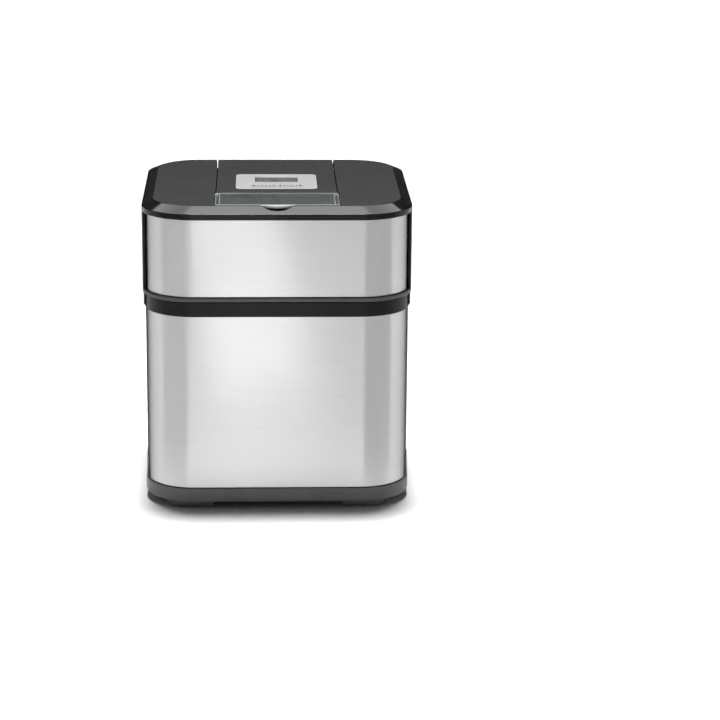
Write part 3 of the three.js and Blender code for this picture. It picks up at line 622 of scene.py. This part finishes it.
def corner_posts():
    """Screw posts between the base tray and the collar."""
    bottom, top = BASE_FLOOR_TOP + GAP, 163
    profile = fillet([(2, bottom), (4.6, bottom), (4.6, top), (2, top)], [0.2, 0.6, 0, 0])
    posts = None
    for centre in POSTS:
        post = lathe("cutter", profile, 40, centre, closed=True)
        posts = rename(post, "collar_posts") if posts is None else merge(posts, post)
    return finish_piece(posts, "housing", "black_plastic", black.material)


def merge(piece, other):
    """Adds another mesh that doesn't touch the first."""
    joined = bmesh.new()
    joined.from_mesh(piece.data)
    joined.from_mesh(other.data)
    joined.to_mesh(piece.data)
    joined.free()
    bpy.data.objects.remove(other)
    return piece


def liner():
    radius, floor, top = LINER_RADIUS, LINER_FLOOR, COLLAR_BOTTOM - GAP
    profile = fillet(
        [(0.01, floor), (radius + 1.8, floor), (radius + 1.8, top - 2), (radius + 7.3, top - 2),
         (radius + 7.3, top), (radius, top), (radius, floor + 2), (0.01, floor + 2)],
        [0, 3, 1, 0.4, 0.4, 0.6, 2, 0],
        closed=False,
    )
    cup = lathe("liner_bucket", profile)
    return finish_piece(cup, "housing", "top_plastic", dark_inner.material, "inner_liner")


def rubber_feet():
    profile = fillet(
        [(0.01, 0), (3.2, 0), (3.8, 0.5), (5, 0.5), (5.6, 0), (8.9, 0), (8.9, 3), (0.01, 3)],
        [0, 0.15, 0.15, 0.15, 0.15, 0.6, 0.2, 0],
        closed=False,
    )
    for index, centre in enumerate(POSTS):
        foot = lathe(f"foot_pad_{index + 1}", profile, 64, centre)
        finish_piece(foot, "housing", "rubber", rubber.material, f"rubber_foot_{index + 1}")


# ---- freezer bowl ---------------------------------------------------------------------------


def bowl_shell():
    bottom, top = BOWL_BOTTOM, BOWL_TOP - 8
    outside, inside = BOWL_RADIUS, BOWL_RADIUS - 1.5
    profile = fillet(
        [(0.01, bottom), (outside - 2, bottom), (outside, bottom + 9), (outside, top), (inside, top),
         (inside, bottom + 6), (inside - 5, bottom + 1.5), (0.01, bottom + 1.5)],
        [0, 4, 6, 0.3, 0.3, 1, 1, 0],
        closed=False,
    )
    shell = lathe("bowl_shell", profile)
    return finish_piece(
        shell, "freezer_bowl", "top_plastic", dark_inner.material, "bowl_outer_shell"
    )


def bowl_cup():
    """Inner cup with the pin that centres the paddle."""
    inside, outside = BOWL_INSIDE, BOWL_INSIDE + 1.5
    floor_top, top = BOWL_FLOOR, BOWL_TOP - 8
    pin_top = floor_top + 7
    profile = fillet(
        [(0.01, floor_top - 1.5), (outside, floor_top - 1.5), (outside, top), (inside, top),
         (inside, floor_top), (3, floor_top), (3, pin_top), (0.01, pin_top)],
        [0, 6, 0.3, 0.3, 6, 1, 1, 0],
        closed=False,
    )
    cup = lathe("bowl_cup", profile)
    return finish_piece(cup, "freezer_bowl", "aluminium", aluminium.material, "bowl_inner_cup")


def bowl_rim():
    """Ring over both walls of the bowl, with a skirt outside and a shallow groove on top."""
    inside, skirt, outside = BOWL_INSIDE + 0.2, BOWL_RADIUS + 0.3, BOWL_RADIUS + 2.2
    bottom, top = BOWL_TOP - 7.7, BOWL_TOP
    profile = fillet(
        [(inside, bottom), (skirt, bottom), (skirt, bottom - 3), (outside, bottom - 3), (outside, top),
         (outside - 5, top), (outside - 6, top - 1), (inside + 3.8, top - 1), (inside + 2.8, top),
         (inside, top)],
        [0.3, 0.2, 0.2, 0.5, 1.6, 0.5, 0.5, 0.5, 0.5, 1.2],
    )
    ring = lathe("bowl_rim", profile, closed=True)
    return finish_piece(ring, "freezer_bowl", "top_plastic", dark_inner.material, "bowl_rim_ring")


# ---- lid shells -----------------------------------------------------------------------------


def chute_outline(half_x, front, rear, margin=0.0):
    half_y = (rear - front) / 2
    centre = (0, (front + rear) / 2)
    return square_outline(half_x + margin, half_y + margin, 5 + margin, centre, 8, 3)


def pan():
    """Lid floor, from the shaft's hub outwards round the rim and back over the top."""
    bottom, top = PAN_BOTTOM, PAN_TOP
    floor_top = bottom + 2.4
    hub_top = 181
    hub = fillet(
        [(8.3, bottom - 3), (14, bottom - 3), (14, bottom), (86, bottom), (86, bottom - 4),
         (88.5, bottom - 4), (88.5, bottom), (100, bottom)],
        [0.3, 0.6, 1, 1, 0.4, 0.6, 0.6, 0],
        closed=False,
    )
    rings = [round_ring(r, z) for r, z in hub]
    rim = fillet([(-9, bottom), (0, bottom), (0, top), (-2.2, top)], [0, 0.9, 0.9, 0], closed=False)
    rings += [square_ring(RIM_HALF_X, RIM_HALF_Y, RIM_RADIUS, z, o) for o, z in rim]
    lip = STEEL_HALF - STEEL_THICK - GAP
    lip_radius = STEEL_RADIUS - STEEL_THICK - GAP
    for offset, z in [(0, top), (0, top + 4), (-2.7, top + 4), (-2.7, floor_top)]:
        rings.append(square_ring(lip, lip, lip_radius, z, offset))
    rings += [round_ring(r, z) for r, z in [(14, floor_top), (14, hub_top), (8.3, hub_top)]]
    whole = skin("lid_floor", rings, closed=True)
    cut(whole, prism("cutter", chute_outline(*CHUTE_LOW, 0.4), bottom - 1, top + 1))
    for centre in LID_SCREWS:
        cut(whole, drum(1.9, bottom - 1, top + 1, centre))
        cut(whole, drum(3.6, bottom - 1, bottom + 1.6, centre))
    return finish_piece(whole, "lid", "grey_plastic", rim_grey.material, "lid_pan")


def lid_wall():
    wall = steel_wall("lid_band", low("lid_steel_band").z, high("lid_steel_band").z)
    cut(wall, rear_disc("cutter", [(5.3, 100), (5.3, 115)]))
    return finish_piece(wall, "lid", "brushed_steel", steel.material, "lid_steel_band")


def rear_disc(name, profile, closed=False):
    """Turns (radius, y) points about the cable gland's axis, which runs along Y."""
    piece = lathe(name, profile, 64, closed=closed)
    turn = Matrix.Rotation(-math.pi / 2, 4, "X")
    piece.data.transform(Matrix.Translation((0, 0, GLAND_Z * MM)) @ turn)
    if sum(f.normal.y * f.center.y for f in piece.data.polygons) < 0:
        piece.data.flip_normals()
    return piece


def gland():
    inside, rear = 101, STEEL_HALF + GAP
    profile = fillet(
        [(3.4, inside), (5, inside), (5, rear), (8, rear), (8, rear + 1.1), (4.4, rear + 1.1),
         (3.4, rear)],
        [0.2, 0.2, 0, 0.1, 0.6, 0.3, 0.2],
    )
    tube = rear_disc("mains_gland", profile, closed=True)
    return finish_piece(tube, "lid", "black_plastic", black.material, "cable_gland")


def cheek(side, name):
    """Grip panel on one side of the lid: side is -1 for the left and 1 for the right."""
    z0, z1 = PAN_TOP + GAP, BAND_TOP - GAP
    depth = 1.9
    profile = fillet([(-depth, z0), (0, z0), (0, z1), (-depth, z1)], [0, 0.4, 0.4, 0])
    panel = wrap(name, RIM_HALF_X, RIM_HALF_Y, RIM_RADIUS, profile)
    inner = square_outline(STEEL_HALF + GAP, STEEL_HALF + GAP, STEEL_RADIUS + GAP)
    cut(panel, prism("cutter", inner, z0 - 1, z1 + 1))
    xs = sorted((0, side * FAR))
    keep(panel, block(*xs, -SIDE_HALF_Y, SIDE_HALF_Y, z0 - 5, z1 + 5))
    node = "left_side_cheek" if side < 0 else "right_side_cheek"
    return finish_piece(panel, "lid", "black_plastic", black.material, node)


def flat_ring(z, inset=0.0):
    """Outline of the flat top, inside the chamfer."""
    return square_ring(FLAT_HALF_X, FLAT_HALF_Y, FLAT_RADIUS, z, -inset)


def top_block(name):
    """Rim, chamfer and flat top in one, with softened edges at both ends of the chamfer."""
    edge = fillet([(-20, BAND_TOP), (0, BAND_TOP), (0, RIM_TOP - 0.5)], [0, 0.5, 0], closed=False)
    rings = [square_ring(RIM_HALF_X, RIM_HALF_Y, RIM_RADIUS, z, o) for o, z in edge]
    rim = square_ring(RIM_HALF_X, RIM_HALF_Y, RIM_RADIUS, RIM_TOP)
    flat = flat_ring(TOP)
    inner = flat_ring(TOP, 8)
    rings += rounded_turn(rings[-1], rim, flat, 0.5)
    rings += rounded_turn(rim, flat, inner, 0.8)
    rings.append(inner)
    return skin(name, rings)


def rounded_turn(before, at, after, reach):
    """Rings that round the turn between two walls, point by point, over a reach in millimetres."""
    starts = [p + (q - p).normalized() * reach for p, q in zip(at, before)]
    ends = [p + (q - p).normalized() * reach for p, q in zip(at, after)]
    rings = []
    for step in range(ARC_STEPS + 1):
        t = step / ARC_STEPS
        rings.append(
            [a * (1 - t) ** 2 + m * 2 * t * (1 - t) + b * t * t for a, m, b in zip(starts, at, ends)]
        )
    return rings


def top_hollow():
    """Inside of the top block, which leaves a shell of even thickness."""
    levels = (BAND_TOP - 1, RIM_TOP - SHELL)
    rings = [square_ring(RIM_HALF_X, RIM_HALF_Y, RIM_RADIUS, z, -SHELL) for z in levels]
    return skin("cutter", rings + [flat_ring(TOP - SHELL, 1)])


def tab_outline(margin):
    """Pull tab in front of the flap: a curve between two points, pulled forward in the middle."""
    half = TAB_HALF + margin
    front = FLAP_FRONT - margin
    pulled = FLAP_FRONT - TAB_REACH - 2 * margin
    steps = 24
    points = [(-half, FLAP_FRONT + 1)]
    for step in range(steps + 1):
        t = step / steps
        x = -half + 2 * half * t
        y = front * ((1 - t) ** 2 + t * t) + pulled * 2 * t * (1 - t)
        points.append((x, y))
    points.append((half, FLAP_FRONT + 1))
    return points


def split_finish(piece):
    """Second material on the flat plate; the first stays on rim, chamfer and inner faces."""
    for face in piece.data.polygons:
        if face.center.z > (TOP - 0.06) * MM and face.normal.z > 0.97:
            face.material_index = 1


def bezel():
    whole = top_block("top_surround")
    cut(whole, top_hollow())
    join(whole, scoop_wall(), pocket_floor())
    cut(whole, flap_pocket(), hinge_bearings(), punch(chute_outline(*CHUTE_HIGH, -1)))
    cut(whole, prism("cutter", tab_outline(SEAM), FLAP_TOP - FLAP_THICK - GAP, ABOVE))
    cut(whole, drum(SCOOP_RADIUS, SCOOP_FLOOR, ABOVE, (0, SCOOP_Y), 96))
    cut(whole, hole(-STRIP_HALF - SEAM, STRIP_HALF + SEAM, STRIP_FRONT - SEAM, FAR))
    cut(whole, hole(-SLOT_HALF, SLOT_HALF, SLOT_START, FAR))
    soften(whole, 0.25, 2, 50)
    split_finish(whole)
    bottom, top = PAN_TOP + GAP, 249.6
    profile = fillet([(1.9, bottom), (4, bottom), (4, top), (1.9, top)], [0.2, 0.4, 0, 0])
    for centre in LID_SCREWS:
        merge(whole, lathe("cutter", profile, 32, centre, closed=True))
    return finish_piece(
        whole, "lid", "top_plastic", [top_gloss.material, top_matt.material], "top_bezel"
    )


def scoop_wall():
    """Solid stretch of rim and chamfer that the finger scoop is cut from."""
    half, front, top = 17, -106.4, 249
    wall = block(-half, half, front, FLAP_FRONT + 1.4, BAND_TOP + 0.1, top)
    return keep(top_block("cutter"), wall)


def pocket_floor():
    """Floor under the flap."""
    half = 54
    front = FLAP_FRONT - SEAM - 2
    rear = STRIP_FRONT - 0.2
    return block(-half, half, front, rear, POCKET_FLOOR - 2.2, POCKET_FLOOR + 1)


def flap_pocket():
    half = FLAP_HALF + SEAM
    return block(-half, half, FLAP_FRONT - SEAM, STRIP_FRONT + 5, POCKET_FLOOR, ABOVE)


def hinge_bearings():
    """Slot along the flap's axis whose two ends hold the flap's pins."""
    half, room = FLAP_HALF + 2.4, 1.3
    y, z = FLAP_HINGE
    return block(-half, half, y - room, y + room, z - room, z + room)


def strip():
    whole = top_block("middle_strip")
    cut(whole, top_hollow())
    keep(whole, hole(-STRIP_HALF, STRIP_HALF, STRIP_FRONT, FAR))
    bed = plan_outline("control_plate", PLATE_RADIUS + GAP, GAP, 10)
    cut(whole, prism("cutter", bed, low("control_plate").z - 0.2, ABOVE))
    edge = 0.7
    front_left, rear_right = low("display_window"), high("display_window")
    cut(whole, hole(front_left.x + edge, rear_right.x - edge, front_left.y + edge, rear_right.y - edge))
    half = 2.2
    for key in KEYS:
        x, y, _ = middle(key)
        cut(whole, hole(x - half, x + half, y - half, y + half))
    soften(whole, 0.25, 2, 50)
    split_finish(whole)
    return finish_piece(
        whole, "lid", "top_plastic", [top_gloss.material, top_matt.material], "centre_strip"
    )


# ---- control panel --------------------------------------------------------------------------


def control_plate():
    outline = plan_outline("control_plate", PLATE_RADIUS, corner_steps=10)
    plate = prism("control_panel", outline, low("control_plate").z, high("control_plate").z)
    cut(plate, punch(plan_outline("display_window", 0.8, GAP)))
    for key in KEYS:
        cut(plate, punch(plan_outline(key, 1.2, 0.2)))
    soften(plate, 0.12, 2, 50)
    return finish_piece(plate, "lid", "silver_foil", silver.material, "control_plate")


def keys():
    for index, key in enumerate(KEYS):
        x, y, _ = middle(key)
        bottom, top = low(key).z, high(key).z - PRINT_THICK
        stem = 1.7
        cap = prism(f"key_cap_{index + 1}", plan_outline(key, 1), top - 0.25, top)
        join(cap, block(x - stem, x + stem, y - stem, y + stem, bottom, top - 0.1))
        soften(cap, 0.08, 2, 50)
        finish_piece(cap, key, "silver_foil", silver.material, key)
        legend = key_legend(f"key_legend_{index + 1}", x, y, 1 if index % 2 else -1, top)
        finish_piece(legend, key, "silver_foil", print_black.material)


def key_legend(name, x, y, way, z):
    """Printed triangle with two dashes behind it, which points left (-1) or right (+1)."""
    print_top = z + PRINT_THICK
    tail, tip = x + way * 2.3, x + way * 4.3
    half_height = 3.6
    points = [(tail, y - half_height), (tip, y), (tail, y + half_height)]
    if way < 0:
        points.reverse()
    legend = prism(name, points, z, print_top)
    half_width, half_height = 0.55, 1.7
    for shift in (0.2, 3.2):
        left, right = x - way * shift - half_width, x - way * shift + half_width
        merge(legend, block(left, right, y - half_height, y + half_height, z, print_top))
    return legend


def display():
    outline = plan_outline("display_window", 0.6)
    bottom, top = low("display_window").z, high("display_window").z
    window = prism("display_cover", outline, bottom, top)
    soften(window, 0.08, 2, 50)
    finish_piece(window, "lid", "display", display_glass.material, "display_window")


# ---- refill flap and chute ------------------------------------------------------------------


def flap():
    """Clear door: a sunk pane in a frame of raised ribs, with a lens-shaped pull tab in front."""
    bottom = FLAP_TOP - FLAP_THICK
    half_y = (FLAP_REAR - FLAP_FRONT) / 2
    outline = square_outline(FLAP_HALF, half_y, 1.2, (0, (FLAP_FRONT + FLAP_REAR) / 2), 6, 6)
    plate = prism("clear_flap", outline, bottom, FLAP_TOP)
    join(plate, prism("cutter", tab_outline(0), bottom, FLAP_TOP))
    cut(plate, block(-PANE_HALF, PANE_HALF, PANE_FRONT, FLAP_REAR - 0.9, PANE_TOP, ABOVE))
    for side in (-1, 1):
        flap_side(plate, side)
    soften(plate, 0.2, 2, 50)
    for side in (-1, 1):
        join(plate, hinge_pin(side))
    # Painted highlights: the front of the frame and the pull tab take the lightest copy of the clear
    # plastic, and the rib tops and side faces take a lighter one.
    for face in plate.data.polygons:
        height = face.center.z / MM
        if face.center.y / MM < PANE_FRONT and height > bottom + 0.1:
            face.material_index = 2
        elif height > PANE_TOP + 0.05 or abs(face.normal.z) < 0.9:
            face.material_index = 1
    looks = [clear_flap.material, clear_rib_painted_highlight.material, clear_edge_painted_highlight.material]
    return finish_piece(plate, "refill_flap", "clear_plastic", looks, "refill_flap")


def flap_side(plate, side):
    """Bar just above the pocket's floor, and the long well and the notch in the rib over it."""
    rib = PANE_HALF + 0.8
    bar = sorted((side * (PANE_HALF + 0.3), side * FLAP_HALF))
    well = sorted((side * rib, side * (FLAP_HALF - 0.8)))
    notch = sorted((side * rib, side * (FLAP_HALF - 0.6)))
    bar_top = FLAP_TOP - FLAP_THICK + 0.5
    join(plate, block(*bar, FLAP_FRONT + 2, FLAP_REAR - 2.6, POCKET_FLOOR + 0.7, bar_top))
    cut(plate, block(*well, PANE_FRONT, FLAP_REAR - 8, FLAP_TOP - 0.7, ABOVE))
    cut(plate, block(*notch, FLAP_REAR - 6, FLAP_REAR - 1.8, FLAP_TOP - 1.3, ABOVE))


def hinge_pin(side):
    """Pin along X, half inside the flap's edge."""
    reach, radius = 2, 0.9
    profile = [(0.01, -reach), (radius, -reach), (radius, reach), (0.01, reach)]
    pin = lathe("cutter", fillet(profile, [0, 0.2, 0.2, 0], closed=False), 24)
    place = Matrix.Translation(Vector((side * FLAP_HALF, *FLAP_HINGE)) * MM)
    pin.data.transform(place @ Matrix.Rotation(math.pi / 2, 4, "Y"))
    return pin


def chute():
    """Funnel under the flap, through the lid's hollow to the bowl."""
    top = POCKET_FLOOR - 2.5
    wall = 1.8
    levels = [
        (CHUTE_LOW, PAN_BOTTOM - 3),
        (CHUTE_LOW, PAN_TOP + 4),
        (CHUTE_HIGH, top - 12),
        (CHUTE_HIGH, top),
    ]
    outside = [level_ring(chute_outline(*shape), z) for shape, z in levels]
    inside = [level_ring(chute_outline(*shape, -wall), z) for shape, z in reversed(levels)]
    funnel = skin("clear_chute", outside + inside, closed=True, sharp=30)
    soften(funnel, 0.4, 2, 50)
    return finish_piece(funnel, "lid", "clear_plastic", clear_chute.material, "refill_chute")


# ---- CAD nodes that stay --------------------------------------------------------------------

KEPT = {
    zinc: [
        *[f"{place}_screw_{number}" for place in ("base", "lid") for number in (1, 2, 3, 4)],
        "drive_shaft",
        "idler_pin",
        "motor_rotor",
        "motor_can",
    ],
    acetal: ["output_gear", "idler_gear", "shaft_bush", "drive_coupling"],
    black: ["motor_end_cap", "gearbox_case", "gearbox_cover"],
    rubber: ["lid_seal"],
    green: ["control_board"],
    display_back: ["display_module"],
    gel: ["coolant_gel"],
    white: ["paddle"],
}


def dress_kept_nodes():
    for look, names in KEPT.items():
        for name in names:
            node = frame["nodes"][name]
            if "custom_normal" in node.data.attributes:
                node.data.attributes.remove(node.data.attributes["custom_normal"])
            smooth(node, 32)
            node.data.materials.clear()
            node.data.materials.append(look.material)
            soften(node, 0.6 if name == "paddle" else 0.2, 2, 35, apply=False)


# ---- stage ----------------------------------------------------------------------------------


def floor():
    size = 6000
    ground = rename(block(-size, size, -size, size, -20, 0), "studio_floor")
    look = Look("pale_floor", (0.93, 0.93, 0.93), 0.85)
    look.link(look.ramp(look.noise(6, 2), 0.82, 0.88), look.shader.inputs["Roughness"])
    look.set("Specular IOR Level", 0.1)
    ground.data.materials.append(look.material)


def soft_sun(name, strength, spread, tilt_back, reflects=True):
    """Sun with soft shadows. Angles in degrees: spread is its width, tilt_back leans it rearwards."""
    light = bpy.data.lights.new(name, "SUN")
    light.energy = strength
    light.angle = math.radians(spread)
    holder = bpy.data.objects.new(name, light)
    bpy.context.scene.collection.objects.link(holder)
    holder.rotation_euler = (math.radians(-tilt_back), 0, 0)
    holder.visible_glossy = reflects
    return holder


def softbox(name, position, aim, size, radiance, lean=0):
    """Rectangular light that shows only in reflections: position, aim and size in metres.

    Lean turns it about its own axis, in degrees.
    """
    light = bpy.data.lights.new(name, "AREA")
    light.shape = "RECTANGLE"
    light.size, light.size_y = size
    light.energy = radiance * math.pi * size[0] * size[1]
    holder = bpy.data.objects.new(name, light)
    bpy.context.scene.collection.objects.link(holder)
    holder.location = position
    facing = (Vector(aim) - Vector(position)).to_track_quat("-Z", "Y").to_matrix()
    holder.rotation_euler = (facing @ Matrix.Rotation(math.radians(lean), 3, "Z")).to_euler()
    holder.visible_camera = False
    holder.visible_diffuse = False
    return holder


def card(name, tone, azimuth, distance, half_width, bottom, top, shine=0.0):
    """Upright card that only shows in reflections, as a photographer's flag beside the set.

    Azimuth in degrees, 0 in front of the machine and 90 on its right; sizes in millimetres; shine is
    the light that the card gives off itself.
    """
    sheet = rename(block(-half_width, half_width, -2, 2, bottom, top), name)
    angle = math.radians(azimuth)
    sheet.location = Vector((math.sin(angle), -math.cos(angle), 0)) * distance * MM
    sheet.rotation_euler = (0, 0, angle)
    look = moulded(f"{name}_cloth", (tone, tone, tone), 0.9)
    look.set("Emission Color", (1, 1, 1, 1))
    look.set("Emission Strength", shine)
    sheet.data.materials.append(look.material)
    sheet.visible_camera = False
    sheet.visible_diffuse = False
    sheet.visible_shadow = False
    sheet.visible_transmission = False


def world():
    """White surroundings that only the camera sees and that light nothing."""
    sky = bpy.data.worlds.new("studio")
    bpy.context.scene.world = sky
    sky.use_nodes = True
    background = sky.node_tree.nodes["Background"]
    background.inputs["Color"].default_value = (1.0, 1.0, 1.0, 1.0)
    background.inputs["Strength"].default_value = 1.0
    sky.cycles_visibility.diffuse = False
    sky.cycles_visibility.glossy = False


def camera():
    """Long lens from the front, a little to the left and above: place in metres, turns in degrees."""
    place = (-0.01904, -2.03874, 0.66459)
    yaw, pitch, roll = (math.radians(angle) for angle in (2.541, 15.55, 0.5))
    data = bpy.data.cameras.new("camera")
    data.lens = 123.8
    data.sensor_width = 36
    holder = bpy.data.objects.new("camera", data)
    bpy.context.scene.collection.objects.link(holder)
    holder.matrix_world = (
        Matrix.Translation(place)
        @ Matrix.Rotation(-yaw, 4, "Z")
        @ Matrix.Rotation(math.pi / 2 - pitch, 4, "X")
        @ Matrix.Rotation(roll, 4, "Z")
    )
    bpy.context.scene.camera = holder


camera()
world()
floor()
# The overhead sun throws the floor's shadow and the fill lifts it.
soft_sun("overhead", 4.4, 10, 6.5)
soft_sun("fill", 0.32, 170, 0, reflects=False)
# Seen only in reflections: by the lid's top, by the front, and by the steel's round corners.
softbox("rear_softbox", (0, 0.752, 1.64), (0, -0.1, 0.25), (1.7, 0.29), 7.8)
softbox("rear_low_softbox", (0, 1.067, 1.388), (0, -0.1, 0.25), (1.7, 0.53), 3.6)
softbox("front_glow", (-0.042, -0.257, 0.22), (-0.042, -0.1, 0.2), (0.085, 0.34), 0.6, lean=12)
softbox("body_glow", (-0.03, -0.257, 0.06), (-0.03, -0.1, 0.1), (0.16, 0.16), 0.15)
softbox("front_bounce", (0, -0.165, 0.02), (0, -0.105, 0.05), (0.2, 0.04), 0.2)
card("rear_flag", 0.01, 180, 1500, 3000, 0, 850)
card("front_left_card", 1.0, -43, 190, 45, 0, 400, 0.35)
card("front_right_card", 0.85, 40, 184, 45, 0, 400, 0.3)
card("rear_left_flag", 0.1, -150, 200, 110, 0, 400)
card("rear_right_flag", 0.1, 150, 200, 110, 0, 400)
base_shell()
lower_sleeve()
collar_ring()
corner_posts()
liner()
rubber_feet()
bowl_shell()
bowl_cup()
bowl_rim()
pan()
lid_wall()
gland()
cheek(-1, "left_cheek")
cheek(1, "right_cheek")
bezel()
strip()
control_plate()
keys()
display()
flap()
chute()
dress_kept_nodes()
bpy.context.scene.view_settings.view_transform = "Standard"
